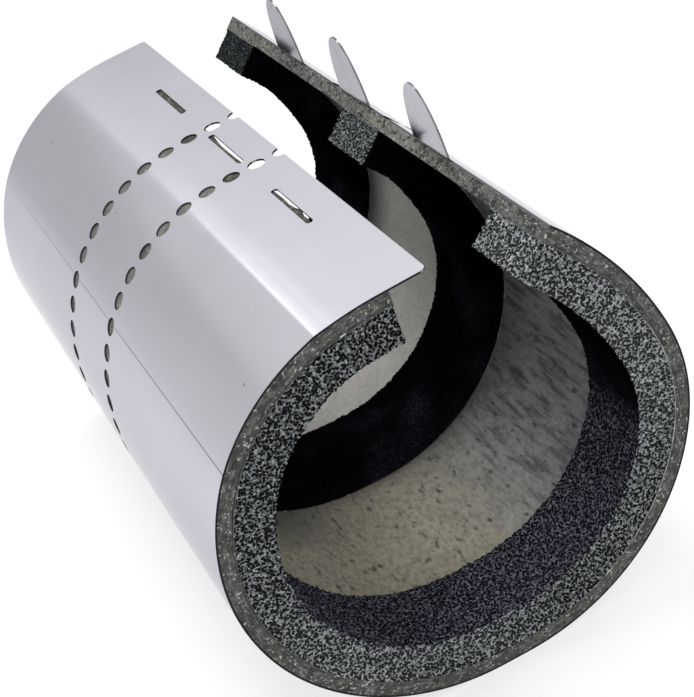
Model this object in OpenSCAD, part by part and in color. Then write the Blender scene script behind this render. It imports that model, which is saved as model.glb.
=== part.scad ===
// Pipe fire collar, sprung open: a thin steel jacket with a full-length swelling liner
// and three foam strips glued inside it. It lies on its side with the gap upwards.
// X runs across the collar, Y along the pipe from the front end to the rear end, Z up.

/* [Length] */
// Length of the collar along the pipe
collar_len = 150; // [110:1:240]

/* [Layers] */
// Thickness of the steel sheet
sheet_t = 0.4; // [0.3:0.05:0.8]
// Thickness of the swelling liner
liner_t = 2.6; // [1.5:0.1:3.5]
// Thickness of the glue film under each foam strip
film_t = 0.2; // [0.1:0.05:0.3]
// Thickness of a foam strip
foam_t = 7.5; // [4:0.1:8]

/* [Section] */
// Flat length at the free edge of the flap
lip_len = 9; // [8:0.5:14]
// Radius between the flap and the upper crease
brow_r = 66; // [50:1:90]
// Turn between the flap and the upper crease
brow_turn = 10; // [6:0.5:14]
// Radius of the foam's inner face at a crease
crease_in_r = 1.3; // [1:0.1:6]
// Turn at the upper crease
upper_crease_turn = 4; // [2:0.5:6]
// Radius between the two creases
cheek_r = 40.5; // [36:0.5:46]
// Turn between the two creases
cheek_turn = 37.5; // [34:0.5:41]
// Turn at the lower crease
lower_crease_turn = 2.5; // [1.5:0.5:5]
// Radius of the left wall
wall_r = 42.5; // [38:0.5:48]
// Turn of the left wall
wall_turn = 67; // [62:0.5:70]
// Radius of the bottom, on both sides of the flat that it lies on
cradle_r = 43; // [38:0.5:48]
// Turn of the bottom to the left of that flat
cradle_left_turn = 55; // [52:0.5:58]
// Turn of the bottom to the right of that flat
cradle_right_turn = 75; // [72:0.5:78]
// Width of the flat that it lies on
rest_w = 5; // [3:0.5:10]
// Radius of the right shoulder
shoulder_r = 36.5; // [32:0.5:42]
// Turn of the right shoulder
shoulder_turn = 32.5; // [29:0.5:36]
// Radius of the right wing, up to the gap
wing_r = 69; // [60:1:80]
// Turn of the right wing, up to the gap
wing_turn = 28.5; // [24:0.5:31]

/* [Flap] */
// How far the bare flap reaches past the liner and foam
flap_overhang = 7.2; // [5:0.1:7.5]
// Corner radius of the flap
flap_corner_r = 1.2; // [0.6:0.1:3]

/* [Foam strips] */
// Width of a foam strip along the pipe
strip_w = 17.5; // [12:0.5:22]
// Distance from the front end to the middle strip
middle_strip_at = 63.5; // [50:0.5:75]

/* [Perforations] */
// Distance between the two rows of perforations
row_gap = 25; // [20:0.5:32]
// Distance between the centres of two perforations in a row
perf_pitch = 5.42; // [4.8:0.02:6.5]
// Diameter of a perforation
perf_d = 3.6; // [2.4:0.05:4.2]
// Centre of the first perforation, measured from the edge of the flap
perf_start = 0; // [0:0.1:1]

/* [Tabs and slots] */
// Distance between the centres of two tabs, and of the slots that take them
tab_pitch = 34.5; // [30:0.5:45]
// Width of a tab at its root
tab_w = 14; // [9:0.5:15]
// Height of a tab
tab_h = 14; // [9:0.5:18]
// How far the tabs stand off the middle of their slots, towards the rear end
tab_shift = 1.8; // [0:0.1:1.8]
// How far a tab is bent outwards from the sheet
tab_fold = 42; // [30:1:60]
// Clearance of a slot along the tab
slot_clear = 4; // [4:0.5:6]
// Width of a slot
slot_w = 1.4; // [1:0.1:2]
// Distance from the edge of the flap to the middle of a slot
slot_at = 7.2; // [4:0.1:8]

/* [Hidden] */
$fn = 96;

// Depths of the layers, measured inwards from the outside of the sheet
LINER_IN = sheet_t + liner_t;
FILM_IN = LINER_IN + film_t;
FOAM_IN = FILM_IN + foam_t;
CREASE_R = FOAM_IN + crease_in_r;

// The section is a chain of runs from the flap round to the other edge of the gap.
// [radius, turn] is a bend, measured outside the sheet, and [0, length] is a flat.
RUNS = [[0, lip_len], [brow_r, brow_turn], [CREASE_R, upper_crease_turn], [cheek_r, cheek_turn],
        [CREASE_R, lower_crease_turn], [wall_r, wall_turn], [cradle_r, cradle_left_turn], [0, rest_w],
        [cradle_r, cradle_right_turn], [shoulder_r, shoulder_turn], [wing_r, wing_turn]];
WALL = 5;
REST = 7;
SHOULDER = 9;
LAST = len(RUNS) - 1;

function bent(i) = RUNS[i][0] > 0;
function turn(i) = bent(i) ? RUNS[i][1] : 0;
function run_len(i) = bent(i) ? RUNS[i][0] * RUNS[i][1] * PI / 180 : RUNS[i][1];
function ahead(h) = [cos(h), sin(h)];
function inward(h) = [-sin(h), cos(h)];
// Heading and place at the start of run i, worked out both ways from the flat that it lies on
function head(i) = i == REST ? 0 : i > REST ? head(i - 1) + turn(i - 1) : head(i + 1) - turn(i);
function stride(i) = bent(i)
    ? RUNS[i][0] * (inward(head(i)) - inward(head(i) + turn(i)))
    : RUNS[i][1] * ahead(head(i));
function knot(i) = i == REST ? [-rest_w / 2, 0]
    : i > REST ? knot(i - 1) + stride(i - 1)
    : knot(i + 1) - stride(i);
function centre(i) = knot(i) + RUNS[i][0] * inward(head(i));
// Arc length from the edge of the flap to the start of run i
function upto(i) = i == 0 ? 0 : upto(i - 1) + run_len(i - 1);
function run_at(s, i = 0) = (i == LAST || s < upto(i + 1)) ? i : run_at(s, i + 1);
function head_at(s, i) = head(i) + (bent(i) ? (s - upto(i)) / RUNS[i][0] * 180 / PI : 0);
function spot_at(s, i) = bent(i)
    ? centre(i) - RUNS[i][0] * inward(head_at(s, i))
    : knot(i) + (s - upto(i)) * ahead(head(i));

SHEET_LEN = upto(LAST + 1);
// The origin is under the middle of the collar's box
LEFT_X = centre(WALL)[0] - wall_r;
RIGHT_X = centre(SHOULDER)[0] + shoulder_r;
SHIFT_X = -(LEFT_X + RIGHT_X) / 2;
FRONT = -collar_len / 2;
REAR = collar_len / 2;
MIDDLE_STRIP = FRONT + middle_strip_at;
REAR_STRIP = REAR - strip_w;

// How far cutters stand clear of the surfaces that they cut
CLEAR = 2;
// Steps of the points round a bend and round a tab, in degrees
BEND_STEP = 2.5;
TAB_STEP = 10;
// How deep the root of a tab goes into the edge of the sheet, and not through it into the liner
TAB_ROOT = sheet_t / 3;
// Sides of the many small perforations
PERF_SIDES = 12;

// Arc lengths of the points on run i from s0 on, without the point where the next run starts
function run_stations(i, s0) =
    let (from = max(s0, upto(i)), steps = max(1, ceil(turn(i) / BEND_STEP)))
    [for (k = [0 : steps - 1]) from + (upto(i + 1) - from) * k / steps];
function stations(s0) = concat([for (i = [run_at(s0) : LAST]) each run_stations(i, s0)], [SHEET_LEN]);
// Point of the section at arc length s and depth d
function section_point(s, d) = let (i = run_at(s)) spot_at(s, i) + d * inward(head_at(s, i));

// A layer between two depths, from arc length s0 round to the gap, and from y0 to y1
module layer(d0, d1, s0, y0, y1) {
    along = stations(s0);
    outer = [for (s = along) section_point(s, d0)];
    inner = [for (k = [len(along) - 1 : -1 : 0]) section_point(along[k], d1)];
    translate([SHIFT_X, y1, 0])
        rotate([90, 0, 0])
            linear_extrude(y1 - y0)
                polygon(concat(outer, inner));
}

// Puts its children on the outside of the sheet: X along it, Y along the pipe, Z inwards
module on_sheet(s, y) {
    i = run_at(s);
    translate([spot_at(s, i)[0] + SHIFT_X, y, spot_at(s, i)[1]])
        rotate([0, -head_at(s, i), 0])
            children();
}

// Cutter with round ends, through the sheet
module slot_cutter(length, width) {
    translate([0, 0, -CLEAR])
        linear_extrude(2 * CLEAR)
            union() {
                square([length - width, width], center = true);
                for (side = [-1, 1])
                    translate([side * (length - width) / 2, 0])
                        circle(d = width);
            }
}

module perforation_row(y) {
    for (s = [perf_start : perf_pitch : SHEET_LEN + perf_d / 2])
        on_sheet(s, y)
            translate([0, 0, -CLEAR])
                cylinder(d = perf_d, h = 2 * CLEAR, $fn = PERF_SIDES);
}

module flap_corner() {
    difference() {
        translate([-CLEAR, -CLEAR, -CLEAR])
            cube([CLEAR + flap_corner_r, CLEAR + flap_corner_r, 2 * CLEAR]);
        translate([flap_corner_r, flap_corner_r, -2 * CLEAR])
            cylinder(r = flap_corner_r, h = 4 * CLEAR);
    }
}

// A tongue of the sheet with a half-elliptic outline, bent outwards at the edge of the gap
module tab(y) {
    outline = [for (t = [0 : TAB_STEP : 180]) [tab_h * sin(t), tab_w / 2 * cos(t)]];
    root = [[-TAB_ROOT, -tab_w / 2], [-TAB_ROOT, tab_w / 2]];
    on_sheet(SHEET_LEN, y)
        rotate([0, tab_fold, 0])
            linear_extrude(sheet_t)
                polygon(concat(outline, root));
}

module steel_jacket() {
    color("silver")
        union() {
            difference() {
                layer(0, sheet_t, 0, FRONT, REAR);
                for (side = [-1, 1])
                    perforation_row(side * row_gap / 2);
                for (k = [-1 : 1])
                    on_sheet(slot_at, k * tab_pitch)
                        rotate([0, 0, 90])
                            slot_cutter(tab_w + slot_clear, slot_w);
                on_sheet(0, FRONT)
                    flap_corner();
                on_sheet(0, REAR)
                    mirror([0, 1, 0])
                        flap_corner();
            }
            for (k = [-1 : 1])
                tab(k * tab_pitch + tab_shift);
        }
}

module intumescent_liner() {
    color("dimgray")
        layer(sheet_t, LINER_IN, flap_overhang, FRONT, REAR);
}

module adhesive_film(y) {
    color("whitesmoke")
        layer(LINER_IN, FILM_IN, flap_overhang, y, y + strip_w);
}

module foam_strip(y) {
    color("slategray")
        layer(FILM_IN, FOAM_IN, flap_overhang, y, y + strip_w);
}

steel_jacket();
intumescent_liner();
foam_strip(FRONT);  // foam_strip_front
foam_strip(MIDDLE_STRIP);  // foam_strip_middle
foam_strip(REAR_STRIP);  // foam_strip_rear
adhesive_film(FRONT);  // adhesive_film_front
adhesive_film(MIDDLE_STRIP);  // adhesive_film_middle
adhesive_film(REAR_STRIP);  // adhesive_film_rear
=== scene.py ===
# %% [markdown]
# # A pipe fire collar
# The collar is a thin steel sheet, rolled to an open C, with a swelling liner and three foam strips glued
# inside it. It is pushed over a plastic pipe, pulled shut, and its tabs go through the slots of the flap.
# Every layer of it is cut flat and then rolled. This lesson works in the same order: each piece is modelled
# flat in millimetres, where holes and edges are easy to place, and one function then rolls it into metres.

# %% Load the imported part
import math

import bpy
import numpy as np
from mathutils import Matrix, Vector


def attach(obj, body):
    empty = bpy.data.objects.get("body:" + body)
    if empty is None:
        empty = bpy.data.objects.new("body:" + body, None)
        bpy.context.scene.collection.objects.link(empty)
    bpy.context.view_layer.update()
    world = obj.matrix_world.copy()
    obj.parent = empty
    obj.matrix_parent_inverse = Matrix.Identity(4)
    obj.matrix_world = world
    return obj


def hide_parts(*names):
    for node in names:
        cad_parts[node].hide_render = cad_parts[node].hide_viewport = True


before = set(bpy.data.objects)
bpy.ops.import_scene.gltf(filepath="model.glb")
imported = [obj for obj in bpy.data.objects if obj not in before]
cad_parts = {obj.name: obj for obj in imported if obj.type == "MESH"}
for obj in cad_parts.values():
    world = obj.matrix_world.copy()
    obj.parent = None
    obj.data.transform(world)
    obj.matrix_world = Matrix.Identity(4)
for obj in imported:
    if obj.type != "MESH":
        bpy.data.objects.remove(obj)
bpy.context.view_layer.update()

# %% [markdown]
# ## The rolled section
# Seen from its end, the collar is a chain of bends and flats that starts at the free edge of the flap. These
# are the same driving values as in the CAD source, so that each new piece lies where its solid lies. A bend
# is a radius and a turn in degrees, measured outside the sheet. A flat has the radius 0 and a length.

# %% Sizes in millimetres
MM = 0.001
SHEET_T, LINER_T, FILM_T, FOAM_T = 0.4, 2.6, 0.2, 7.5
LINER_IN = SHEET_T + LINER_T
FILM_IN = LINER_IN + FILM_T
FOAM_IN = FILM_IN + FOAM_T
FRONT, REAR = -75.0, 75.0
FLAP_OVERHANG = 7.2
CREASE_IN_R = 1.3
CREASE_R = FOAM_IN + CREASE_IN_R
TAB_W, TAB_H, TAB_FOLD, TAB_BEND_R = 14.0, 14.0, 42.0, 0.6
# Places of some runs in the chain, from the upper crease to the edge of the gap
UPPER, LOWER, WALL, REST, SHOULDER, EDGE = 2, 4, 5, 7, 9, 11
RUNS = [(0, 9.0), (66.0, 10.0), (CREASE_R, 4.0), (40.5, 37.5), (CREASE_R, 2.5), (42.5, 67.0), (43.0, 55.0),
        (0, 5.0), (43.0, 75.0), (36.5, 32.5), (69.0, 28.5), (-TAB_BEND_R, TAB_FOLD), (0, TAB_H)]
# A point closer than this to an edge or a face lies on it
TOUCH = 0.01

# %% Work out the chain
RADII = np.array([run[0] for run in RUNS], float)


def ahead(h):
    return np.stack([np.cos(h), np.sin(h)], -1)


def inward(h):
    return np.stack([-np.sin(h), np.cos(h)], -1)


lengths = [abs(r) * math.radians(v) if r else v for r, v in RUNS]
turns = [math.copysign(math.radians(v), r) if r else 0.0 for r, v in RUNS]
STARTS = np.concatenate([[0.0], np.cumsum(lengths)])
HEADS = np.concatenate([[0.0], np.cumsum(turns)])
HEADS = HEADS - HEADS[REST]
strides = [r * (inward(HEADS[i]) - inward(HEADS[i + 1])) if r else v * ahead(HEADS[i])
           for i, (r, v) in enumerate(RUNS)]
KNOTS = np.concatenate([[[0.0, 0.0]], np.cumsum(strides, axis=0)])
KNOTS = KNOTS - KNOTS[REST] - [RUNS[REST][1] / 2, 0.0]
left_x = (KNOTS[WALL] + RADII[WALL] * inward(HEADS[WALL]))[0] - RADII[WALL]
right_x = (KNOTS[SHOULDER] + RADII[SHOULDER] * inward(HEADS[SHOULDER]))[0] + RADII[SHOULDER]
KNOTS[:, 0] -= (left_x + right_x) / 2
SHEET_LEN = STARTS[EDGE]
print("sheet length round the collar in mm:", round(SHEET_LEN, 2))


# %% Roll flat points
def rolled(flat):
    """Rolls points given as distance along the sheet, place along the pipe and depth below the outside."""
    s, y, d = np.asarray(flat, float).T
    i = np.clip(np.searchsorted(STARTS, s, side="right") - 1, 0, len(RUNS) - 1)
    radius, on = RADII[i], s - STARTS[i]
    bent = radius != 0
    h = HEADS[i] + np.where(bent, on / np.where(bent, radius, 1.0), 0.0)
    bend = KNOTS[i] + radius[:, None] * inward(HEADS[i]) - (radius - d)[:, None] * inward(h)
    straight = KNOTS[i] + on[:, None] * ahead(h) + d[:, None] * inward(h)
    x, z = np.where(bent[:, None], bend, straight).T
    return np.stack([x, y, z], 1) * MM


corners = rolled([[0, FRONT, 0], [SHEET_LEN, FRONT, 0]])
print("edges of the gap in mm:", np.round(corners / MM, 1).tolist())

# %% [markdown]
# ## Camera
# The camera was found by fitting the collar's own edges to the photograph. It looks down on the near end
# from the side of the flap, and it is tilted, so the collar seems to roll to the right.

# %% Place the camera
IMAGE_W, SENSOR_W = 694, 36.0
FOCAL_PX = 1606.95
CAMERA_AT = Vector((-0.070125, -0.2845, 0.20804))
yaw, pitch, roll = math.radians(15.25), math.radians(31.164), math.radians(-17.621)
look = Vector((math.sin(yaw) * math.cos(pitch), math.cos(yaw) * math.cos(pitch), -math.sin(pitch)))
level_right = Vector((math.cos(yaw), -math.sin(yaw), 0.0))
level_up = level_right.cross(look)
right = math.cos(roll) * level_right + math.sin(roll) * level_up
up = -math.sin(roll) * level_right + math.cos(roll) * level_up
bpy.ops.object.select_all(action="DESELECT")
bpy.ops.object.camera_add()
camera = bpy.context.object
camera.name = "photo_camera"
camera.matrix_world = Matrix.Translation(CAMERA_AT) @ Matrix((right, up, -look)).transposed().to_4x4()
camera.data.sensor_fit = "HORIZONTAL"
camera.data.sensor_width = SENSOR_W
camera.data.lens = SENSOR_W * FOCAL_PX / IMAGE_W
camera.data.clip_start = 0.01
bpy.context.scene.camera = camera
print("lens in mm:", round(camera.data.lens, 2))

# %% [markdown]
# ## Studio
# A pale floor, a soft world and two broad lamps light the collar. Bright steel shows what stands round it, so
# the world is a little darker just above the horizon, which gives the bends their shading, and one bright
# strip at its side shines along the upper crease. The floor glows a little, and less towards the back. Camera
# rays see plain white, and the floor keeps the shadow.


# %% Node helpers
def add_node(tree, kind, **values):
    """Adds a shader node. A value named for a property sets it, and other values set the inputs."""
    node = tree.nodes.new(kind)
    for name, value in values.items():
        if hasattr(node, name):
            setattr(node, name, value)
        else:
            node.inputs[name.replace("_", " ")].default_value = value
    return node


def add_math(tree, operation, a, b=None):
    """Adds a Math node. Numbers set its inputs, and sockets are linked to them."""
    node = tree.nodes.new("ShaderNodeMath")
    node.operation = operation
    for socket, value in zip(node.inputs, (a, b)):
        if isinstance(value, (int, float)):
            socket.default_value = value
        elif value is not None:
            tree.links.new(value, socket)
    return node.outputs[0]


def grey_ramp(tree, fac, levels):
    """A colour ramp through these greys, each given as its place and its level."""
    ramp = add_node(tree, "ShaderNodeValToRGB")
    steps = ramp.color_ramp.elements
    while len(steps) < len(levels):
        steps.new(0.5)
    for step, (at, level) in zip(steps, levels):
        step.position = at
        step.color = (level, level, level, 1)
    tree.links.new(fac, ramp.inputs["Fac"])
    return ramp.outputs["Color"]


# %% World
bpy.context.scene.view_settings.view_transform = "Standard"
# Places and levels: the sky over height, the sides over how far a direction points to the left, and the bright
# strip there, which fades in with height
SKY = [(0.0, 0.88), (0.10, 0.82), (0.25, 0.78), (0.33, 0.80), (0.37, 0.93), (0.45, 0.99), (0.52, 1.08),
       (0.65, 1.20), (0.80, 1.10), (1.0, 0.95)]
SIDE_FROM = 0.1
SIDES = [(0.05, 1.06), (0.08, 1.09), (0.14, 1.12), (0.19, 1.12), (0.235, 0.88), (0.40, 0.90), (0.52, 0.89),
         (0.60, 0.98), (0.70, 1.0)]
STRIP = [(0.08, 0.0), (0.14, 0.62), (0.19, 0.62), (0.235, 0.0)]
STRIP_RISE = [(0.43, 0.0), (0.53, 1.0)]
world = bpy.data.worlds.new("studio")
bpy.context.scene.world = world
world.use_nodes = True
tree = world.node_tree
tree.nodes.clear()
direction = add_node(tree, "ShaderNodeTexCoord")
height = add_node(tree, "ShaderNodeSeparateXYZ")
tree.links.new(direction.outputs["Generated"], height.inputs[0])
sky_levels = grey_ramp(tree, height.outputs["Z"], SKY)
sideways = add_math(tree, "SUBTRACT", SIDE_FROM, height.outputs["X"])
strip_rise = grey_ramp(tree, height.outputs["Z"], STRIP_RISE)
strip = add_math(tree, "MULTIPLY", grey_ramp(tree, sideways, STRIP), strip_rise)
side_levels = add_math(tree, "ADD", grey_ramp(tree, sideways, SIDES), strip)
white = add_node(tree, "ShaderNodeBackground", Color=(1, 1, 1, 1), Strength=1.0)
sky = add_node(tree, "ShaderNodeBackground", Strength=1.0)
tree.links.new(sky_levels, sky.inputs["Color"])
tree.links.new(side_levels, sky.inputs["Strength"])
world_mix = add_node(tree, "ShaderNodeMixShader")
path = add_node(tree, "ShaderNodeLightPath")
clear = add_math(tree, "MAXIMUM", path.outputs["Is Camera Ray"], path.outputs["Is Transmission Ray"])
tree.links.new(clear, world_mix.inputs[0])
tree.links.new(sky.outputs[0], world_mix.inputs[1])
tree.links.new(white.outputs[0], world_mix.inputs[2])
world_out = add_node(tree, "ShaderNodeOutputWorld")
tree.links.new(world_mix.outputs[0], world_out.inputs["Surface"])
print("world nodes:", len(tree.nodes))

# %% Floor
FLOOR_SIZE, FLOOR_GREY = 8.0, 0.42
GLOW_AT, GLOW = (0.05, 0.30), (0.54, 0.42)
bpy.ops.object.select_all(action="DESELECT")
bpy.ops.mesh.primitive_plane_add(size=FLOOR_SIZE)
floor = bpy.context.object
floor.name = "studio_floor"
paper = bpy.data.materials.new("floor_paper")
paper.use_nodes = True
tree = paper.node_tree
tree.nodes.clear()
path = add_node(tree, "ShaderNodeLightPath")
mirrored = add_math(tree, "MAXIMUM", path.outputs["Is Glossy Ray"], path.outputs["Is Transmission Ray"])
shown = add_math(tree, "MAXIMUM", path.outputs["Is Camera Ray"], mirrored)
lit = add_node(tree, "ShaderNodeBsdfDiffuse", Color=(FLOOR_GREY, FLOOR_GREY, FLOOR_GREY, 1))
glow = add_node(tree, "ShaderNodeEmission", Color=(1, 1, 1, 1))
place = add_node(tree, "ShaderNodeTexCoord")
parts = add_node(tree, "ShaderNodeSeparateXYZ")
fall_off = add_node(tree, "ShaderNodeMapRange")
for name, value in zip(("From Min", "From Max", "To Min", "To Max"), (*GLOW_AT, *GLOW)):
    fall_off.inputs[name].default_value = value
tree.links.new(place.outputs["Object"], parts.inputs[0])
tree.links.new(parts.outputs["Y"], fall_off.inputs["Value"])
tree.links.new(fall_off.outputs["Result"], glow.inputs["Strength"])
both = add_node(tree, "ShaderNodeAddShader")
pick = add_node(tree, "ShaderNodeMixShader")
floor_out = add_node(tree, "ShaderNodeOutputMaterial")
tree.links.new(lit.outputs[0], both.inputs[0])
tree.links.new(glow.outputs[0], both.inputs[1])
tree.links.new(shown, pick.inputs[0])
tree.links.new(lit.outputs[0], pick.inputs[1])
tree.links.new(both.outputs[0], pick.inputs[2])
tree.links.new(pick.outputs[0], floor_out.inputs["Surface"])
floor.data.materials.append(paper)
print("floor size in m:", FLOOR_SIZE)


# %% Lamps
def soft_lamp(name, at, aim, size, power):
    """A broad lamp that faces a point."""
    bpy.ops.object.select_all(action="DESELECT")
    bpy.ops.object.light_add(type="AREA", location=at)
    lamp = bpy.context.object
    lamp.name = name
    lamp.data.shape = "RECTANGLE"
    lamp.data.size, lamp.data.size_y = size
    lamp.data.energy = power
    lamp.rotation_euler = (Vector(aim) - Vector(at)).to_track_quat("-Z", "Y").to_euler()
    print(name, "at", at, "power", power)


MIDDLE = (0.0, 0.0, 0.045)
soft_lamp("front_lamp", (0.05, -0.9, 0.55), MIDDLE, (1.3, 1.0), 1.8)
soft_lamp("top_lamp", (0.0, 0.18, 0.92), MIDDLE, (0.45, 0.45), 3.8)

# %% [markdown]
# ## Shared effects
# Three small node groups serve the finishes. One spreads specks of a chosen size and number, one makes the
# pores of cut foam, and one makes slow, cloudy changes of tone. All of them read Object coordinates, so a
# pattern stays on its piece.


# %% Group: specks
def new_group(name, inputs, outputs):
    """A shader group with named number inputs and outputs, and its own input and output nodes."""
    group = bpy.data.node_groups.new(name, "ShaderNodeTree")
    for label, value in inputs:
        socket = group.interface.new_socket(name=label, in_out="INPUT", socket_type="NodeSocketFloat")
        socket.default_value = value
    for label in outputs:
        group.interface.new_socket(name=label, in_out="OUTPUT", socket_type="NodeSocketFloat")
    return group, group.nodes.new("NodeGroupInput"), group.nodes.new("NodeGroupOutput")


speck_group, speck_in, speck_out = new_group(
    "specks", [("Scale", 1000.0), ("From", 0.6), ("To", 0.7), ("Along", 1.0)], ["Mask"])
coords = add_node(speck_group, "ShaderNodeTexCoord")
stretch = add_node(speck_group, "ShaderNodeCombineXYZ", X=1.0, Z=1.0)
squeezed = add_node(speck_group, "ShaderNodeVectorMath", operation="MULTIPLY")
speck_noise = add_node(speck_group, "ShaderNodeTexNoise", Detail=1.0, Roughness=0.5)
speck_cut = add_node(speck_group, "ShaderNodeMapRange", interpolation_type="SMOOTHSTEP")
speck_group.links.new(speck_in.outputs["Along"], stretch.inputs["Y"])
speck_group.links.new(coords.outputs["Object"], squeezed.inputs[0])
speck_group.links.new(stretch.outputs[0], squeezed.inputs[1])
speck_group.links.new(squeezed.outputs[0], speck_noise.inputs["Vector"])
speck_group.links.new(speck_in.outputs["Scale"], speck_noise.inputs["Scale"])
speck_group.links.new(speck_noise.outputs["Fac"], speck_cut.inputs["Value"])
speck_group.links.new(speck_in.outputs["From"], speck_cut.inputs["From Min"])
speck_group.links.new(speck_in.outputs["To"], speck_cut.inputs["From Max"])
speck_group.links.new(speck_cut.outputs["Result"], speck_out.inputs["Mask"])

# %% Group: pores
pore_group, pore_in, pore_out = new_group(
    "pores", [("Scale", 1400.0), ("From", 0.3), ("To", 0.5)], ["Mask"])
coords = add_node(pore_group, "ShaderNodeTexCoord")
cells = add_node(pore_group, "ShaderNodeTexVoronoi", feature="F1")
pore_cut = add_node(pore_group, "ShaderNodeMapRange", interpolation_type="SMOOTHSTEP")
pore_group.links.new(coords.outputs["Object"], cells.inputs["Vector"])
pore_group.links.new(pore_in.outputs["Scale"], cells.inputs["Scale"])
pore_group.links.new(cells.outputs["Distance"], pore_cut.inputs["Value"])
pore_group.links.new(pore_in.outputs["From"], pore_cut.inputs["From Min"])
pore_group.links.new(pore_in.outputs["To"], pore_cut.inputs["From Max"])
pore_group.links.new(pore_cut.outputs["Result"], pore_out.inputs["Mask"])

# %% Group: cloudy tone
cloud_group, cloud_in, cloud_out = new_group(
    "cloudy_tone", [("Scale", 60.0), ("Low", 0.0), ("High", 1.0)], ["Tone"])
coords = add_node(cloud_group, "ShaderNodeTexCoord")
cloud_noise = add_node(cloud_group, "ShaderNodeTexNoise", Detail=3.0, Roughness=0.55)
cloud_cut = add_node(cloud_group, "ShaderNodeMapRange")
cloud_cut.inputs["From Min"].default_value = 0.3
cloud_cut.inputs["From Max"].default_value = 0.7
cloud_group.links.new(coords.outputs["Object"], cloud_noise.inputs["Vector"])
cloud_group.links.new(cloud_in.outputs["Scale"], cloud_noise.inputs["Scale"])
cloud_group.links.new(cloud_noise.outputs["Fac"], cloud_cut.inputs["Value"])
cloud_group.links.new(cloud_in.outputs["Low"], cloud_cut.inputs["To Min"])
cloud_group.links.new(cloud_in.outputs["High"], cloud_cut.inputs["To Max"])
cloud_group.links.new(cloud_cut.outputs["Result"], cloud_out.inputs["Tone"])
print("groups:", [g.name for g in bpy.data.node_groups])


# %% Material helpers
def new_material(name, **values):
    """A material with one Principled BSDF, whose plain values are set on its own sockets."""
    material = bpy.data.materials.new(name)
    material.use_nodes = True
    tree = material.node_tree
    tree.nodes.clear()
    shader = add_node(tree, "ShaderNodeBsdfPrincipled", **values)
    out = add_node(tree, "ShaderNodeOutputMaterial")
    tree.links.new(shader.outputs[0], out.inputs["Surface"])
    return material, tree, shader


def use_group(tree, group, **values):
    """Places a group and sets its inputs."""
    node = tree.nodes.new("ShaderNodeGroup")
    node.node_tree = group
    for name, value in values.items():
        node.inputs[name].default_value = value
    return node.outputs[0]


def mix_colour(tree, factor, a, b):
    """Mixes two colours, each a tuple or a socket."""
    node = tree.nodes.new("ShaderNodeMix")
    node.data_type = "RGBA"
    sockets = [s for s in node.inputs if s.enabled]
    for socket, value in zip(sockets, (factor, a, b)):
        if isinstance(value, tuple):
            socket.default_value = (*value, 1.0)
        elif isinstance(value, (int, float)):
            socket.default_value = value
        else:
            tree.links.new(value, socket)
    return [s for s in node.outputs if s.enabled][0]


def add_bump(tree, shader, height, distance):
    """Feeds a height into the shader's normal. The distance is in metres."""
    bump = add_node(tree, "ShaderNodeBump", Strength=1.0, Distance=distance)
    tree.links.new(height, bump.inputs["Height"])
    tree.links.new(bump.outputs[0], shader.inputs["Normal"])


# %% Read numbers and lay patterns on the flat piece
def read_number(tree, name):
    """The number that a piece keeps under this name."""
    return add_node(tree, "ShaderNodeAttribute", attribute_name=name).outputs["Fac"]


def between(tree, value, low, high):
    """0 up to the low value, 1 from the high one on, and smooth between them."""
    node = add_node(tree, "ShaderNodeMapRange", interpolation_type="SMOOTHSTEP")
    node.inputs["From Min"].default_value = low
    node.inputs["From Max"].default_value = high
    tree.links.new(value, node.inputs["Value"])
    return node.outputs["Result"]


def along_sheet(tree):
    """The distance along the sheet, in metres, and the whole flat place."""
    laid = add_node(tree, "ShaderNodeAttribute", attribute_name="laid").outputs["Vector"]
    parts = add_node(tree, "ShaderNodeSeparateXYZ")
    tree.links.new(laid, parts.inputs[0])
    return parts.outputs["X"], laid


def laid_noise(tree, laid, scales, low, high):
    """Noise with its own scale along each side of the flat piece, cut between two levels."""
    scaled = add_node(tree, "ShaderNodeVectorMath", operation="MULTIPLY")
    scaled.inputs[1].default_value = scales
    tree.links.new(laid, scaled.inputs[0])
    noise = add_node(tree, "ShaderNodeTexNoise", Scale=1.0, Detail=2.0, Roughness=0.6)
    tree.links.new(scaled.outputs[0], noise.inputs["Vector"])
    return between(tree, noise.outputs["Fac"], low, high)


# %% [markdown]
# ## Flat pieces
# Each layer starts as a grid, scaled to its cut size in edit mode. A fine grid bends smoothly, and the flat
# layout is also kept as the piece's own map, with the sides of the piece stacked in rows.


# %% Start a flat grid
def flat_grid(name, s0, s1, y0, y1, depth, columns, rows):
    """A grid from s0 to s1 along the sheet and y0 to y1 along the pipe, at a depth, in millimetres."""
    bpy.ops.object.select_all(action="DESELECT")
    bpy.ops.mesh.primitive_grid_add(x_subdivisions=columns, y_subdivisions=rows, size=1)
    piece = bpy.context.object
    piece.name = name
    piece.data.name = name
    bpy.ops.object.mode_set(mode="EDIT")
    bpy.ops.mesh.select_all(action="SELECT")
    bpy.ops.transform.resize(value=(s1 - s0, y1 - y0, 1))
    bpy.ops.transform.translate(value=((s0 + s1) / 2, (y0 + y1) / 2, depth))
    bpy.ops.object.mode_set(mode="OBJECT")
    return piece


def points_of(piece):
    """The piece's vertices as an array."""
    found = np.empty(len(piece.data.vertices) * 3, np.float32)
    piece.data.vertices.foreach_get("co", found)
    return found.reshape(-1, 3).astype(float)


def apply_modifier(piece, kind, **values):
    """Adds a modifier with these values and applies it."""
    bpy.ops.object.select_all(action="DESELECT")
    piece.select_set(True)
    bpy.context.view_layer.objects.active = piece
    modifier = piece.modifiers.new(kind.lower(), kind)
    for name, value in values.items():
        setattr(modifier, name, value)
    bpy.ops.object.modifier_apply(modifier=modifier.name)


# %% Keep numbers on a piece
def keep_number(piece, name, values, domain="POINT"):
    """Stores one number for each point or face, which a material can read by name."""
    attribute = piece.data.attributes.new(name, "FLOAT", domain)
    attribute.data.foreach_set("value", np.asarray(values, np.float32))


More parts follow.
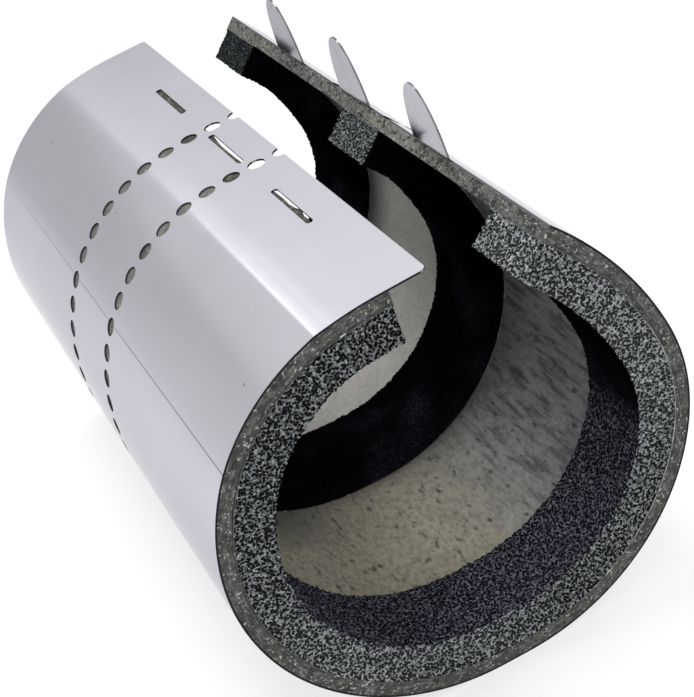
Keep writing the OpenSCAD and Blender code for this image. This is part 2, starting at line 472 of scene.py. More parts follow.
def keep_place(piece, flat):
    """Stores where each point was while the piece was flat, in metres, for patterns that follow the bends."""
    attribute = piece.data.attributes.new("laid", "FLOAT_VECTOR", "POINT")
    attribute.data.foreach_set("vector", (flat * MM).astype(np.float32).ravel())


def faces_at(piece, values, level):
    """Says of each face whether all its corners have this value."""
    corners = np.empty(len(piece.data.loops), np.int32)
    starts = np.empty(len(piece.data.polygons), np.int32)
    piece.data.loops.foreach_get("vertex_index", corners)
    piece.data.polygons.foreach_get("loop_start", starts)
    return np.minimum.reduceat(np.abs(values[corners] - level) < TOUCH, starts)


def rising(values, start, over):
    """0 up to the start, and from there up to 1 over this distance."""
    return np.clip((values - start) / over, 0.0, 1.0)


# %% Keep the flat layout as a map
MAP_GAP = 2.0


def keep_flat_map(piece, strips):
    """Lays the flat sides of a piece out in rows that don't overlap, with its length cut into strips."""
    mesh = piece.data
    count = len(mesh.polygons)
    normal = np.empty(count * 3, np.float32)
    middle = np.empty(count * 3, np.float32)
    corners = np.empty(count, np.int32)
    vertex = np.empty(len(mesh.loops), np.int32)
    mesh.polygons.foreach_get("normal", normal)
    mesh.polygons.foreach_get("center", middle)
    mesh.polygons.foreach_get("loop_total", corners)
    mesh.loops.foreach_get("vertex_index", vertex)
    normal, middle = normal.reshape(-1, 3), middle.reshape(-1, 3)
    place = points_of(piece)
    low, span = place.min(0), np.ptp(place, axis=0)
    axis = np.abs(normal).argmax(1)
    side = 2 * axis + (normal[np.arange(count), axis] > 0)
    heights = np.array([span[2], span[2], span[2], span[2], span[1], span[1]]) + MAP_GAP
    base = np.concatenate([[0.0], np.cumsum(heights)])
    strip_len = span[0] / strips
    strip = np.clip((middle[:, 0] - low[0]) // strip_len, 0, strips - 1)
    strip[axis == 0] = side[axis == 0]
    at = place[vertex] - low
    face = np.repeat(np.arange(count), corners)
    across = np.where(axis[face] == 0, at[:, 1], at[:, 0] - strip[face] * strip_len)
    along = np.where(axis[face] == 2, at[:, 1], at[:, 2])
    row = np.where(axis == 0, 0, strip)[face] * base[-1] + base[side[face]]
    size = max(strip_len + MAP_GAP, span[1] + MAP_GAP, strips * base[-1])
    layer = mesh.uv_layers.new(name="OFBake")
    layer.uv.foreach_set("vector", (np.stack([across, along + row], 1) / size).astype(np.float32).ravel())


# %% [markdown]
# ## Steel jacket
# The real jacket is one punched sheet: two rows of round holes, so that it can be cut shorter, three slots in
# the flap and three tongues at the other edge. It could be modelled on the rolled shape, but the holes would
# then have to follow the bends. Flat, a hole is one circle and a slot a stretched one, copied by arrays.

# %% Flat blank with thickness
GRID_STEP = 1.27
ROW_STEP = 4.6
BLANK_SPARE = 1.0
BLANK_END = SHEET_LEN + TAB_H + BLANK_SPARE
columns = round(BLANK_END / GRID_STEP)
rows = round((REAR - FRONT) / ROW_STEP)
jacket = flat_grid("steel_sheet", 0.0, BLANK_END, FRONT, REAR, 0.0, columns, rows)
apply_modifier(jacket, "SOLIDIFY", thickness=SHEET_T, offset=1.0)
print("blank faces:", len(jacket.data.polygons))

# %% Round the corners of the flap
FLAP_CORNER_R, CORNER_STEPS = 1.2, 5


def select_edges(piece, mask):
    """Selects these edges of a piece and goes into edit mode on them."""
    bpy.ops.object.select_all(action="DESELECT")
    piece.select_set(True)
    bpy.context.view_layer.objects.active = piece
    bpy.ops.object.mode_set(mode="EDIT")
    bpy.ops.mesh.select_mode(type="EDGE")
    bpy.ops.mesh.select_all(action="DESELECT")
    bpy.ops.object.mode_set(mode="OBJECT")
    piece.data.edges.foreach_set("select", np.asarray(mask, bool))
    bpy.ops.object.mode_set(mode="EDIT")


def edge_ends(piece):
    """Both end points of every edge of a piece."""
    ends = np.empty(len(piece.data.edges) * 2, np.int32)
    piece.data.edges.foreach_get("vertices", ends)
    return points_of(piece)[ends].reshape(-1, 2, 3)


ends = edge_ends(jacket)
upright = np.ptp(ends[:, :, 2], axis=1) > SHEET_T / 2
at_corner = (np.abs(ends[:, 0, 0]) < TOUCH) & (np.abs(np.abs(ends[:, 0, 1]) - REAR) < TOUCH)
select_edges(jacket, upright & at_corner)
bpy.ops.mesh.bevel(offset=FLAP_CORNER_R, segments=CORNER_STEPS)
bpy.ops.object.mode_set(mode="OBJECT")
print("points after rounding:", len(jacket.data.vertices))

# %% Cutters for the holes and slots
CUT_DEPTH = 3.0
PERF_D, PERF_PITCH, PERF_ROWS, ROW_GAP = 3.6, 5.42, 2, 25.0
SLOT_LEN, SLOT_W, SLOT_AT = 18.0, 1.4, 7.2
TABS, TAB_PITCH, TAB_SHIFT = 3, 34.5, 1.8
PERF_SIDES, SLOT_SIDES, TONGUE_SIDES = 24, 16, 64


def oblong_cutter(name, length, width, sides):
    """A circle pulled apart in the middle to an oblong, and drawn up to a prism through the sheet."""
    bpy.ops.object.select_all(action="DESELECT")
    bpy.ops.mesh.primitive_circle_add(vertices=sides, radius=width / 2, fill_type="NGON")
    cutter = bpy.context.object
    cutter.name = name
    bpy.ops.object.mode_set(mode="EDIT")
    bpy.ops.mesh.select_all(action="SELECT")
    bpy.ops.transform.rotate(value=math.pi / sides, orient_axis="Z", center_override=(0, 0, 0))
    bpy.ops.object.mode_set(mode="OBJECT")
    place = points_of(cutter)
    for way in (-1, 1):
        bpy.ops.object.mode_set(mode="EDIT")
        bpy.ops.mesh.select_mode(type="VERT")
        bpy.ops.mesh.select_all(action="DESELECT")
        bpy.ops.object.mode_set(mode="OBJECT")
        cutter.data.vertices.foreach_set("select", place[:, 0] * way > 0)
        bpy.ops.object.mode_set(mode="EDIT")
        bpy.ops.transform.translate(value=(way * (length - width) / 2, 0, 0))
        bpy.ops.object.mode_set(mode="OBJECT")
    bpy.ops.object.mode_set(mode="EDIT")
    bpy.ops.mesh.select_all(action="SELECT")
    bpy.ops.transform.translate(value=(0, 0, -CUT_DEPTH / 2))
    bpy.ops.mesh.extrude_region_move(TRANSFORM_OT_translate={"value": (0, 0, CUT_DEPTH)})
    bpy.ops.mesh.select_all(action="SELECT")
    bpy.ops.mesh.normals_make_consistent(inside=False)
    bpy.ops.object.mode_set(mode="OBJECT")
    return cutter


def shift(piece, by):
    """Moves the whole mesh in edit mode, so that the object stays at the origin."""
    bpy.ops.object.select_all(action="DESELECT")
    piece.select_set(True)
    bpy.context.view_layer.objects.active = piece
    bpy.ops.object.mode_set(mode="EDIT")
    bpy.ops.mesh.select_all(action="SELECT")
    bpy.ops.transform.translate(value=by)
    bpy.ops.object.mode_set(mode="OBJECT")


def repeat(piece, count, step):
    """Copies a mesh along a step, with each copy in the same mesh."""
    apply_modifier(piece, "ARRAY", count=count, use_relative_offset=False, use_constant_offset=True,
                   constant_offset_displace=step)


perforations = oblong_cutter("perforation_cutter", PERF_D, PERF_D, PERF_SIDES)
shift(perforations, (0, -ROW_GAP / 2, 0))
repeat(perforations, math.ceil((SHEET_LEN + PERF_D / 2) / PERF_PITCH), (PERF_PITCH, 0, 0))
repeat(perforations, PERF_ROWS, (0, ROW_GAP, 0))
slots = oblong_cutter("slot_cutter", SLOT_LEN, SLOT_W, SLOT_SIDES)
bpy.ops.object.mode_set(mode="EDIT")
bpy.ops.mesh.select_all(action="SELECT")
bpy.ops.transform.rotate(value=math.pi / 2, orient_axis="Z", center_override=(0, 0, 0))
bpy.ops.object.mode_set(mode="OBJECT")
shift(slots, (SLOT_AT, -TAB_PITCH, 0))
repeat(slots, TABS, (0, TAB_PITCH, 0))
print("cutter faces:", len(perforations.data.polygons), len(slots.data.polygons))

# %% Margin between the tongues
MARGIN_SPARE = 10.0
bpy.ops.object.select_all(action="DESELECT")
bpy.ops.mesh.primitive_cylinder_add(vertices=TONGUE_SIDES, radius=1, depth=2 * CUT_DEPTH)
tongues = bpy.context.object
tongues.name = "tongue_form"
bpy.ops.object.mode_set(mode="EDIT")
bpy.ops.mesh.select_all(action="SELECT")
bpy.ops.transform.resize(value=(TAB_H, TAB_W / 2, 1))
bpy.ops.object.mode_set(mode="OBJECT")
shift(tongues, (SHEET_LEN, TAB_SHIFT - TAB_PITCH, 0))
repeat(tongues, TABS, (0, TAB_PITCH, 0))
bpy.ops.object.select_all(action="DESELECT")
bpy.ops.mesh.primitive_cube_add(size=1)
margin = bpy.context.object
margin.name = "margin_cutter"
bpy.ops.object.mode_set(mode="EDIT")
bpy.ops.mesh.select_all(action="SELECT")
bpy.ops.transform.resize(value=(2 * TAB_H, REAR - FRONT + MARGIN_SPARE, CUT_DEPTH))
bpy.ops.transform.translate(value=(SHEET_LEN + TAB_H, 0, 0))
bpy.ops.object.mode_set(mode="OBJECT")
apply_modifier(margin, "BOOLEAN", operation="DIFFERENCE", solver="EXACT", object=tongues)
print("margin faces:", len(margin.data.polygons))

# %% Punch the sheet
for cutter in (margin, perforations, slots):
    apply_modifier(jacket, "BOOLEAN", operation="DIFFERENCE", solver="EXACT", object=cutter)
for cutter in (margin, perforations, slots, tongues):
    bpy.data.objects.remove(cutter)
print("punched faces:", len(jacket.data.polygons))

# %% Cut lines where the bends start
TAB_BEND_STEPS = 3
UPPER_CREASE = (STARTS[UPPER] + STARTS[UPPER + 1]) / 2
LOWER_CREASE = (STARTS[LOWER] + STARTS[LOWER + 1]) / 2
CREASE_LINES = [STARTS[UPPER], UPPER_CREASE, STARTS[UPPER + 1],
                STARTS[LOWER], LOWER_CREASE, STARTS[LOWER + 1]]
TAB_LINES = [SHEET_LEN + (STARTS[EDGE + 1] - SHEET_LEN) * k / TAB_BEND_STEPS
             for k in range(1, TAB_BEND_STEPS + 1)]
bpy.ops.object.mode_set(mode="EDIT")
for s in CREASE_LINES + TAB_LINES:
    bpy.ops.mesh.select_all(action="SELECT")
    bpy.ops.mesh.bisect(plane_co=(s, 0, 0), plane_no=(1, 0, 0))
bpy.ops.object.mode_set(mode="OBJECT")
keep_flat_map(jacket, 2)
print("creases at:", round(UPPER_CREASE, 2), round(LOWER_CREASE, 2))

# %% [markdown]
# Rolling is one move of every vertex. The sheet's creases stand up a hair where it was pressed, which is what
# catches the light along them. A bright sheet shows every small error of its shading, so the normals of both
# faces come from the rolled shape itself and not from the cut faces.

# %% Roll the jacket
RIDGE_W = 1.6
RIDGES = [(UPPER_CREASE, 0.08), (LOWER_CREASE, -0.02)]
# What is left of the ridges and of the painted shade line in the lower crease, at these places along the pipe
RIDGE_AT = [-75, -50, -15, 75]
RIDGE_LEFT, CREASE_SHADE_LEFT = [1.0, 0.8, 0.2, 0.1], [0.9, 0.85, 0.7, 0.15]
# How much darker each tab is, and where that starts on it
TABS_AT, TABS_DARKENED = [-33, 2, 36], [0.5, 0.85, 1.0]
DARKENED_FROM = SHEET_LEN + 0.3
# How dark the sheared ends and the punched edges are
END_CUT, PUNCH_CUT = 1.0, 0.7
# Half the distance over which the slope of the sheet is measured
NUDGE = 0.05


def pressed(flat):
    """Flat points of the sheet with its creases pressed outwards or inwards, most at the front end."""
    lifted = np.array(flat, float)
    fade = np.interp(lifted[:, 1], RIDGE_AT, RIDGE_LEFT)
    for s, height in RIDGES:
        lifted[:, 2] -= fade * height * np.exp(-((lifted[:, 0] - s) / RIDGE_W) ** 2)
    return lifted


def roll_sheet(piece, thickness):
    """Rolls a flat sheet, with the normals of its two faces taken from the rolled form."""
    flat = points_of(piece)
    small = np.array([NUDGE, 0.0, 0.0])
    tangent = rolled(pressed(flat + small)) - rolled(pressed(flat - small))
    outward = np.cross([0.0, 1.0, 0.0], tangent)
    outward /= np.linalg.norm(outward, axis=1)[:, None]
    mesh = piece.data
    mesh.vertices.foreach_set("co", rolled(pressed(flat)).astype(np.float32).ravel())
    mesh.update()
    mesh.polygons.foreach_set("use_smooth", np.ones(len(mesh.polygons), bool))
    normals = np.empty((len(mesh.loops), 3))
    cut = np.zeros(len(mesh.polygons), np.float32)
    for face in mesh.polygons:
        depth = flat[list(face.vertices), 2]
        if np.ptp(depth) > thickness / 4:
            at_end = np.abs(flat[list(face.vertices), 1]).min() > REAR - TOUCH
            cut[face.index] = END_CUT if at_end else PUNCH_CUT
        for loop in face.loop_indices:
            if cut[face.index]:
                normals[loop] = face.normal
            else:
                sign = 1.0 if depth[0] < thickness / 2 else -1.0
                normals[loop] = sign * outward[mesh.loops[loop].vertex_index]
    mesh.normals_split_custom_set(normals.tolist())
    keep_number(piece, "cut_edge", cut, "FACE")
    # The lower crease gets a thin dark line of painted shade, fading along the pipe
    in_lower_crease = np.abs(flat[:, 0] - LOWER_CREASE) < TOUCH
    keep_number(piece, "crease_shade", in_lower_crease * np.interp(flat[:, 1], RIDGE_AT, CREASE_SHADE_LEFT))
    on_tab = flat[:, 0] > DARKENED_FROM
    keep_number(piece, "tab_darkening", on_tab * np.interp(flat[:, 1], TABS_AT, TABS_DARKENED))


roll_sheet(jacket, SHEET_T)
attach(jacket, "root")
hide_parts("steel_jacket")
place = points_of(jacket) / MM
print("jacket box in mm:", np.round(place.min(0), 2), np.round(place.max(0), 2))

# %% [markdown]
# ## Steel finish
# The sheet is bright rolled stainless steel with a satin look. It is fully metallic, with a cool light grey
# and a roughness that changes slowly over the sheet. A faint waviness makes the reflections a little uneven.
# Cut edges are darker, the lower crease has a thin line of painted shade, and the tabs are darker.

# %% Material: stainless sheet
steel, tree, shader = new_material("stainless_sheet", Metallic=1.0, Specular_Tint=(0.7, 0.7, 0.73, 1))
tone = use_group(tree, cloud_group, Scale=38.0, Low=0.0, High=1.0)
specks = use_group(tree, speck_group, Scale=420.0, From=0.785, To=0.82, Along=1.0)
bright = mix_colour(tree, tone, (0.605, 0.600, 0.650), (0.635, 0.630, 0.682))
marked = mix_colour(tree, specks, bright, (0.42, 0.42, 0.45))
sheared = read_number(tree, "cut_edge")
crease_shade = read_number(tree, "crease_shade")
# Painted shade: a thin dark line along the lower crease
marked = mix_colour(tree, crease_shade, marked, (0.12, 0.12, 0.13))
tab_darkening = read_number(tree, "tab_darkening")
rubbed = use_group(tree, cloud_group, Scale=240.0, Low=0.0, High=1.0)
dull = mix_colour(tree, rubbed, (0.36, 0.36, 0.38), (0.45, 0.45, 0.475))
marked = mix_colour(tree, tab_darkening, marked, dull)
tree.links.new(mix_colour(tree, sheared, marked, (0.02, 0.02, 0.02)), shader.inputs["Base Color"])
gloss = use_group(tree, cloud_group, Scale=90.0, Low=0.10, High=0.14)
tree.links.new(gloss, shader.inputs["Roughness"])
wave = use_group(tree, cloud_group, Scale=30.0, Low=0.0, High=1.0)
add_bump(tree, shader, wave, 0.00005)
jacket.data.materials.clear()
jacket.data.materials.append(steel)
print(steel.name, "nodes:", len(tree.nodes))

# %% [markdown]
# ## Swelling liner
# The liner is a flat strip of a soft, filled material, laid inside the jacket over its whole length. Its cut
# edge is dark and full of pale flecks, and its inner face is a paler, greyish beige. Towards the open rear
# end that face is painted paler still, and towards the gap greyer and darker, partly its own tone and partly
# painted light and shade. It is a grid, drawn up to its thickness, with a little relief on the inner face.
# Numbers kept on its faces and points tell the material which side is which, where it is rubbed, and where
# painted shade darkens it beside a foam strip.


# %% Flat slab
def flat_slab(name, s0, y0, y1, outer, inner, columns, rows, layers):
    """A slab from s0 round to the gap, between two depths, with the given steps along its three sides."""
    slab = flat_grid(name, s0, SHEET_LEN, y0, y1, outer, columns, rows)
    bpy.ops.object.mode_set(mode="EDIT")
    bpy.ops.mesh.select_all(action="SELECT")
    bpy.ops.mesh.extrude_region_move(TRANSFORM_OT_translate={"value": (0, 0, inner - outer)})
    bpy.ops.mesh.select_all(action="SELECT")
    bpy.ops.mesh.normals_make_consistent(inside=False)
    bpy.ops.object.mode_set(mode="OBJECT")
    if layers > 1:
        select_edges(slab, np.ptp(edge_ends(slab)[:, :, 2], axis=1) > (inner - outer) / 2)
        bpy.ops.mesh.subdivide(number_cuts=layers - 1)
        bpy.ops.object.mode_set(mode="OBJECT")
    return slab


def roll_slab(slab):
    """Rolls a slab and returns where its points were while it was flat."""
    flat = points_of(slab)
    slab.data.vertices.foreach_set("co", rolled(flat).astype(np.float32).ravel())
    slab.data.update()
    return flat


def depress(slab, texture, depth, mask):
    """Presses these points in by a texture, up to a depth in metres, and returns each point's share of it."""
    group = slab.vertex_groups.new(name="relief")
    group.add(np.nonzero(mask)[0].tolist(), 1.0, "REPLACE")
    before = points_of(slab)
    apply_modifier(slab, "DISPLACE", texture=texture, texture_coords="LOCAL", strength=-depth,
                   mid_level=0.0, vertex_group="relief")
    slab.vertex_groups.clear()
    return np.linalg.norm(points_of(slab) - before, axis=1) / depth


# %% Flat liner with its waving edge
LINER_STEPS = (230, 125, 3)
# How far the edge behind the flap reaches forward, at these places along the pipe
EDGE_AT = [-75, -45, -43, -41, -39, -37, -35.5, -33, -30, -26, -20, -9, -4, 3, 6, 9, 24, 27, 42, 45, 75]
EDGE_REACH = [0, 0, 0.1, 0.45, 0.25, 1.0, 0.45, 0.1, 0.25, 0.1, 0, 0.3, 0.1, 0.05, 0.3, 0.6, 0.3, 1.0, 1.0,
              0.3, 0]
liner = flat_slab("swelling_strip", FLAP_OVERHANG, FRONT, REAR, SHEET_T, LINER_IN, *LINER_STEPS)
keep_flat_map(liner, 1)
flat = points_of(liner)
edge = flat[:, 0] < FLAP_OVERHANG + TOUCH
flat[edge, 0] -= np.interp(flat[edge, 1], EDGE_AT, EDGE_REACH)
liner.data.vertices.foreach_set("co", flat.astype(np.float32).ravel())
print("liner edge moved at", int(edge.sum()), "points")

# %% Roll the liner and press its relief
RELIEF_DEPTH, RELIEF_MARGIN = 0.00025, 0.5
flat = roll_slab(liner)
fibres = bpy.data.textures.new("liner_relief", "CLOUDS")
fibres.noise_scale = 0.0014
fibres.noise_depth = 2
past_edge = flat[:, 0] > FLAP_OVERHANG + RELIEF_MARGIN
before_gap = flat[:, 0] < SHEET_LEN - RELIEF_MARGIN
depress(liner, fibres, RELIEF_DEPTH, (flat[:, 2] > LINER_IN - TOUCH) & past_edge & before_gap)
print("liner faces:", len(liner.data.polygons))

# %% Numbers for the liner's finish
# How much the edge at the gap is rubbed, at these places along the pipe
GAP_AT, GAP_RUBBED = [-75, -45, -22, 0, 25, 75], [0.0, 0.25, 0.95, 0.6, 0.15, 0.4]
# Each pair is where a change starts and the distance it takes, with a minus where it grows towards the flap
REARWARD = (-15.0, 30.0)
# The inner face is painted darker at the foot of the foam strips, as shade; these pairs place those bands
LEFT_FOOT, LEFT_TO = (-31.0, 15.0), (-136.0, 18.0)
RIGHT_FOOT, RIGHT_FROM, RIGHT_PAINTED_SHADE = (-23.0, 12.0), (128.0, 40.0), 0.65
REAR_FOOT, REAR_FROM = (45.0, 12.0), (160.0, 20.0)
LINER_SMOOTH = math.radians(50)
reach, along, depth = flat.T
left_painted_shade = rising(along, *LEFT_FOOT) * rising(-reach, *LEFT_TO)
right_painted_shade = RIGHT_PAINTED_SHADE * rising(along, *RIGHT_FOOT) * rising(reach, *RIGHT_FROM)
rear_painted_shade = rising(along, *REAR_FOOT) * rising(reach, *REAR_FROM)
keep_number(liner, "inside", faces_at(liner, depth, LINER_IN), "FACE")
keep_number(liner, "outside", faces_at(liner, depth, SHEET_T), "FACE")
keep_number(liner, "gap_edge", faces_at(liner, reach, SHEET_LEN), "FACE")
keep_number(liner, "rubbed", np.interp(along, GAP_AT, GAP_RUBBED))
# Towards the open rear end the inner face is painted paler, partly its own tone and partly painted light
keep_number(liner, "rearward", rising(along, *REARWARD))
# Painted shade beside the foam strips
keep_number(liner, "painted_strip_shade", np.where(along < 0, np.maximum(left_painted_shade, right_painted_shade), rear_painted_shade))
keep_place(liner, flat)
bpy.ops.object.shade_smooth_by_angle(angle=LINER_SMOOTH)
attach(liner, "root")
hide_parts("intumescent_liner")
print("liner keeps:", [a.name for a in liner.data.attributes])

# %% Material: liner, cut edges and outside
lining, tree, shader = new_material("swelling_lining", Roughness=0.85)
inside, outside, gap_edge = [read_number(tree, name) for name in ("inside", "outside", "gap_edge")]
rearward = read_number(tree, "rearward")
reach, laid = along_sheet(tree)
blotch = use_group(tree, cloud_group, Scale=190.0, Low=0.0, High=1.0)
flecks = use_group(tree, speck_group, Scale=1900.0, From=0.61, To=0.75, Along=1.0)
fibre = laid_noise(tree, laid, (650.0, 900.0, 3600.0), 0.48, 0.68)
clots = use_group(tree, cloud_group, Scale=620.0, Low=0.0, High=1.0)
core = mix_colour(tree, clots, (0.016, 0.018, 0.017), (0.092, 0.099, 0.091))
core = mix_colour(tree, fibre, core, (0.150, 0.158, 0.146))
worn_gap = add_math(tree, "MULTIPLY", gap_edge, read_number(tree, "rubbed"))
core = mix_colour(tree, add_math(tree, "MULTIPLY", worn_gap, 0.6), core, (0.21, 0.205, 0.175))
grain = laid_noise(tree, laid, (800.0, 700.0, 1200.0), 0.50, 0.60)
grainy = add_math(tree, "ADD", 0.6, add_math(tree, "MULTIPLY", gap_edge, 0.35))
core = mix_colour(tree, add_math(tree, "MULTIPLY", grain, grainy), core, (0.016, 0.018, 0.017))
core = mix_colour(tree, flecks, core, (0.46, 0.47, 0.42))
back = mix_colour(tree, blotch, (0.050, 0.048, 0.043), (0.165, 0.160, 0.150))
back = mix_colour(tree, flecks, back, (0.30, 0.30, 0.29))
rim = mix_colour(tree, fibre, (0.030, 0.029, 0.021), (0.10, 0.097, 0.074))
back = mix_colour(tree, between(tree, reach, 0.0118, 0.0140), rim, back)
core = mix_colour(tree, outside, core, back)

# %% Material: liner, inner face
tone = use_group(tree, cloud_group, Scale=110.0, Low=0.0, High=1.0)
mottle = laid_noise(tree, laid, (1000.0, 520.0, 420.0), 0.34, 0.68)
dots = laid_noise(tree, laid, (700.0, 300.0, 420.0), 0.56, 0.76)
grit = use_group(tree, speck_group, Scale=1500.0, From=0.55, To=0.80, Along=0.5)
# Towards the gap the inner face turns greyer and darker, partly its own colour and partly painted shade
greyer_and_shaded = between(tree, reach, 0.144, 0.178)
streaks = laid_noise(tree, laid, (640.0, 110.0, 420.0), 0.38, 0.76)
beige = mix_colour(tree, tone, (0.368, 0.342, 0.257), (0.465, 0.436, 0.334))
steely = mix_colour(tree, tone, (0.266, 0.273, 0.291), (0.351, 0.361, 0.383))
# The paler grey towards the rear is partly painted light
grey = mix_colour(tree, tone, (0.545, 0.531, 0.504), (0.627, 0.613, 0.586))
face = mix_colour(tree, rearward, mix_colour(tree, greyer_and_shaded, beige, steely), grey)
# Painted shade beside the foam strips
painted_shade_amount = add_math(tree, "MULTIPLY", read_number(tree, "painted_strip_shade"), 0.75)
face = mix_colour(tree, painted_shade_amount, face, (0.12, 0.12, 0.13))
mottled = add_math(tree, "SUBTRACT", 0.42, add_math(tree, "MULTIPLY", rearward, 0.24))
face = mix_colour(tree, add_math(tree, "MULTIPLY", mottle, mottled), face, (0.14, 0.14, 0.13))
smeared = add_math(tree, "MULTIPLY", streaks, add_math(tree, "SUBTRACT", greyer_and_shaded, rearward))
face = mix_colour(tree, between(tree, smeared, 0.0, 1.15), face, (0.075, 0.080, 0.084))
gritty = add_math(tree, "SUBTRACT", 0.55, add_math(tree, "MULTIPLY", rearward, 0.40))
face = mix_colour(tree, add_math(tree, "MULTIPLY", grit, gritty), face, (0.12, 0.12, 0.11))
dotted = add_math(tree, "SUBTRACT", 0.85, add_math(tree, "MULTIPLY", rearward, 0.75))
face = mix_colour(tree, add_math(tree, "MULTIPLY", dots, dotted), face, (0.035, 0.037, 0.040))
tree.links.new(mix_colour(tree, inside, core, face), shader.inputs["Base Color"])
add_bump(tree, shader, flecks, 0.0001)
liner.data.materials.clear()
liner.data.materials.append(lining)
print(lining.name, "nodes:", len(tree.nodes))

# %% [markdown]
# ## Foam strips
# Three strips of open-pored foam grip the pipe. Cut foam is a web of light struts round dark pores, so each
# strip is a fine grid whose surface is pressed in at the pores, and the depth of each pore is kept for the
# material, which paints the deeper pores darker, as shade. The face that is glued down stays flat. Most of the
# front strip's skin is painted as lit, the rest of the skins as in shade with soft patches of painted light,
# and the middle and rear strips' ends at the gap are painted darker, as shade.

# %% Model the foam strips
STRIP_W, MIDDLE_STRIP_AT = 17.5, 63.5
MIDDLE_STRIP, REAR_STRIP = FRONT + MIDDLE_STRIP_AT, REAR - STRIP_W
FOAM_STEP = 0.42
pores = bpy.data.textures.new("foam_pores", "CLOUDS")
pores.noise_scale = 0.0005
pores.noise_depth = 1
pores.contrast = 1.6
PORE_DEPTH = 0.0005
# How much lighter the cut foam's struts are along the sheet, and where the front strip's skin turns from
# painted light to painted shade, as above
LIGHTER_AT = [7, 75, 95, 140, 160, 185, 212, 225, 248, 256]
LIGHTER = [0.0, 0.15, 0.6, 0.6, 0.15, 0.15, 0.9, 0.9, 0.65, 0.65]
LIT_SKIN_TO = (-207.0, 10.0)


def foam_strip(name, node, y0, painted_end_shade):
    """A foam strip whose front end is at y0. Its end at the gap gets this much painted shade."""
    columns = round((SHEET_LEN - FLAP_OVERHANG) / FOAM_STEP)
    strip = flat_slab(name, FLAP_OVERHANG, y0, y0 + STRIP_W, FILM_IN, FOAM_IN, columns,
                      round(STRIP_W / FOAM_STEP), round(FOAM_T / FOAM_STEP))
    keep_flat_map(strip, 2)
    flat = roll_slab(strip)
    depth = depress(strip, pores, PORE_DEPTH, flat[:, 2] > FILM_IN + TOUCH)
    place = points_of(strip)
    place[:, 1] = np.clip(place[:, 1], y0 * MM, (y0 + STRIP_W) * MM)
    strip.data.vertices.foreach_set("co", place.astype(np.float32).ravel())
    keep_number(strip, "pore", depth)
    at_gap = flat[:, 0] > SHEET_LEN - TOUCH
    at_end = np.abs(flat[:, 1]) > REAR - TOUCH
    keep_number(strip, "skin", ~(at_end | at_gap | (flat[:, 0] < FLAP_OVERHANG + TOUCH)))
    # The front strip's skin is painted as lit up to near the gap; the rest of the skins are painted as in
    # shade
    keep_number(strip, "lit_skin", (y0 == FRONT) * rising(-flat[:, 0], *LIT_SKIN_TO))
    # The end at the gap is painted darker, as shade
    keep_number(strip, "painted_end_shade", painted_end_shade * at_gap)
    keep_number(strip, "lighter_struts", np.interp(flat[:, 0], LIGHTER_AT, LIGHTER))
    bpy.ops.object.shade_smooth()
    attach(strip, "root")
    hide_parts(node)
    print(name, "faces:", len(strip.data.polygons), "mean pore", round(float(depth.mean()), 2))
    return strip


strips = [foam_strip("foam_front", "foam_strip_front", FRONT, 0.0),
          foam_strip("foam_middle", "foam_strip_middle", MIDDLE_STRIP, 0.3),
          foam_strip("foam_rear", "foam_strip_rear", REAR_STRIP, 0.85)]

# %% Material: foam
foam, tree, shader = new_material("cut_foam", Roughness=0.9, Specular_IOR_Level=0.0)
kept = ("pore", "skin", "lit_skin", "painted_end_shade", "lighter_struts")
pore, skin, lit_skin, painted_end_shade, lighter_struts = [read_number(tree, name) for name in kept]
webs = use_group(tree, pore_group, Scale=1940.0, From=0.41, To=0.60)
glints = use_group(tree, speck_group, Scale=2300.0, From=0.42, To=0.66, Along=1.0)
# Deeper pores are painted darker, as shade in them
pore_depth_shade = between(tree, pore, 0.45, 0.90)
strut = mix_colour(tree, glints, (0.098, 0.108, 0.113), (0.355, 0.378, 0.373))
lighter_strut = mix_colour(tree, glints, (0.232, 0.250, 0.256), (0.487, 0.511, 0.503))
strut = mix_colour(tree, lighter_struts, strut, lighter_strut)
strut = mix_colour(tree, pore_depth_shade, strut, (0.05, 0.053, 0.056))
opened = mix_colour(tree, lighter_struts, (0.006, 0.006, 0.008), (0.027, 0.029, 0.032))
cut = mix_colour(tree, webs, opened, strut)
# Painted shade on the strip ends at the gap
cut = mix_colour(tree, painted_end_shade, cut, (0.008, 0.010, 0.012))
# Skin painted as lit
pale = mix_colour(tree, glints, (0.048, 0.049, 0.066), (0.160, 0.163, 0.194))
pale = mix_colour(tree, webs, (0.006, 0.006, 0.010), pale)
# Soft patches of painted light on the skin that is painted as in shade
painted_light_patches = use_group(tree, cloud_group, Scale=55.0, Low=-0.6, High=1.0)
painted_light_patches = between(tree, painted_light_patches, 0.0, 1.0)
lit_patch_colour = mix_colour(tree, glints, (0.006, 0.006, 0.010), (0.032, 0.033, 0.048))
dark = mix_colour(tree, painted_light_patches, (0.0028, 0.0028, 0.0034), lit_patch_colour)
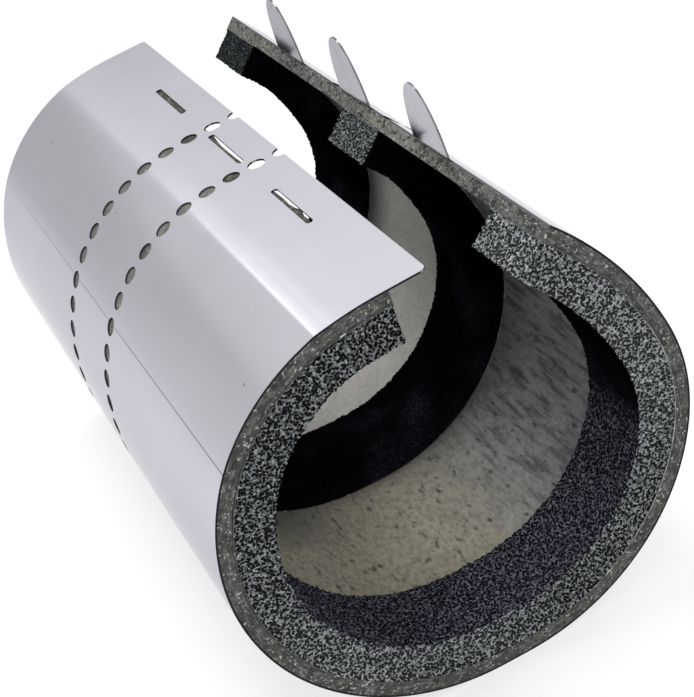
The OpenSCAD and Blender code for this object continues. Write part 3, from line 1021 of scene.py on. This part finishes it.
# Lit skin or shaded skin, both painted
smooth = mix_colour(tree, lit_skin, dark, pale)
tree.links.new(mix_colour(tree, skin, cut, smooth), shader.inputs["Base Color"])
add_bump(tree, shader, webs, 0.0003)
for strip in strips:
    strip.data.materials.clear()
    strip.data.materials.append(foam)
print(foam.name, "nodes:", len(tree.nodes))

# %% [markdown]
# ## Glue films
# A thin pale film holds each foam strip on the liner. Only its edge shows, as a light line in the section, so
# it is a plain thin slab. Its finish is pale where glue was squeezed out on the right, with a few pale specks
# that are partly crumbs and partly painted glints.

# %% Model the films
FILM_STEPS = (220, 14, 1)
FILM_SMOOTH = math.radians(40)


def glue_film(name, node, y0):
    """The film under the foam strip whose front end is at y0."""
    film = flat_slab(name, FLAP_OVERHANG, y0, y0 + STRIP_W, LINER_IN, FILM_IN, *FILM_STEPS)
    keep_flat_map(film, 2)
    keep_place(film, roll_slab(film))
    bpy.ops.object.shade_smooth_by_angle(angle=FILM_SMOOTH)
    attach(film, "root")
    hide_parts(node)
    print(name, "faces:", len(film.data.polygons))
    return film


films = [glue_film("film_front", "adhesive_film_front", FRONT),
         glue_film("film_middle", "adhesive_film_middle", MIDDLE_STRIP),
         glue_film("film_rear", "adhesive_film_rear", REAR_STRIP)]

# %% Material: glue film
glue, tree, shader = new_material("pale_glue", Roughness=0.45)
tone = use_group(tree, cloud_group, Scale=260.0, Low=0.0, High=1.0)
reach, _ = along_sheet(tree)
on_right = add_math(tree, "SUBTRACT", between(tree, reach, 0.150, 0.190),
                    between(tree, reach, 0.225, 0.240))
squeezed_out = add_math(tree, "MULTIPLY", on_right, tone)
# Pale specks, partly crumbs of glue and partly painted glints
crumbs_and_glints = use_group(tree, speck_group, Scale=420.0, From=0.63, To=0.70, Along=1.0)
film_colour = mix_colour(tree, squeezed_out, (0.055, 0.057, 0.052), (0.42, 0.43, 0.38))
tree.links.new(mix_colour(tree, crumbs_and_glints, film_colour, (0.60, 0.60, 0.58)), shader.inputs["Base Color"])
for film in films:
    film.data.materials.clear()
    film.data.materials.append(glue)
print(glue.name, "nodes:", len(tree.nodes))
